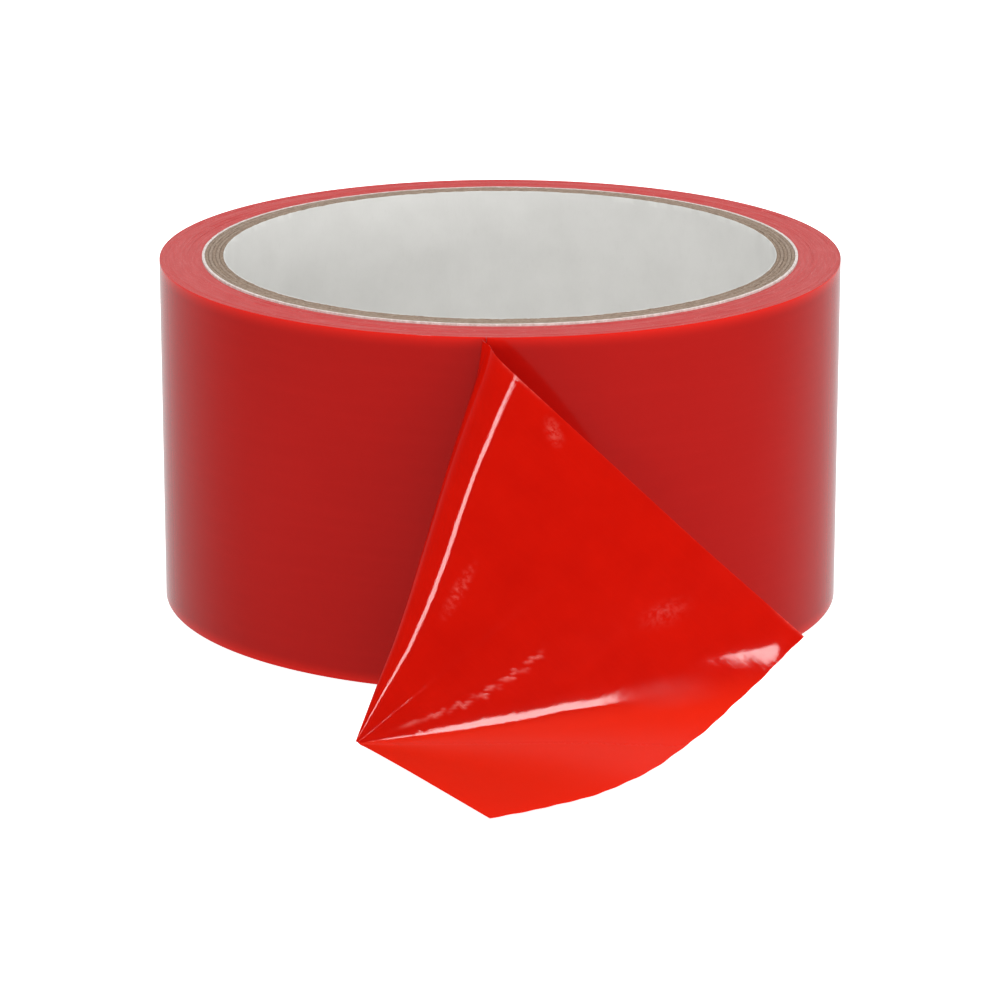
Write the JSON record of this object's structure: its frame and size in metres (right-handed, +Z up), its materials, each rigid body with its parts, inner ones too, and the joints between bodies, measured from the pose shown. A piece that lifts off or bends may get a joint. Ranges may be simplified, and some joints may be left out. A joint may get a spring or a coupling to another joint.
{
  "type": "adhesive tape roll",
  "caption": "Roll of glossy red plastic film tape on a thick paperboard core, with a free end peeled off and folded back.",
  "frame": {"origin": "on the core's axis at the core's lower end, the plane that the roll stands on", "axes": "+Z up along the roll's axis; -Y is the front, where the free end leaves the roll; +X to the right seen from the front"},
  "size_m": [0.094, 0.1465, 0.0486],
  "materials": {
    "liner_paper": "smooth white calendered paper, slight grey",
    "core_board": "grey-brown recycled board, matte, cut edge shows its plies",
    "wrap_paper": "matte white paper",
    "wound_tape": "glossy red film in many layers, fine concentric lines on the cut side faces",
    "free_film": "single layer of glossy, slightly translucent red film with soft creases"
  },
  "bodies": {
    "roll": {"core_inner_liner": "liner_paper", "core_board_ply_1": "core_board", "core_board_ply_2": "core_board", "core_board_ply_3": "core_board", "core_board_ply_4": "core_board", "core_board_ply_5": "core_board", "core_outer_wrap": "wrap_paper", "tape_winding": "wound_tape", "tape_outer_turn": "wound_tape"},
    "web": {"tape_peeled_web": "free_film"},
    "flap": {"tape_folded_flap": "free_film"}
  },
  "joints": [
    {"name": "web_peel", "type": "hinge", "parent": "roll", "child": "web", "pos_m": [-0.00248, -0.04693, 0.0243], "axis": [0, 0, 1], "range_deg": [-40, 15]},
    {"name": "flap_fold", "type": "hinge", "parent": "web", "child": "flap", "pos_m": [-0.01835, -0.06674, 0], "axis": [0.3209, 0.3081, 0.8956], "range_deg": [-115, 20]}
  ]
}
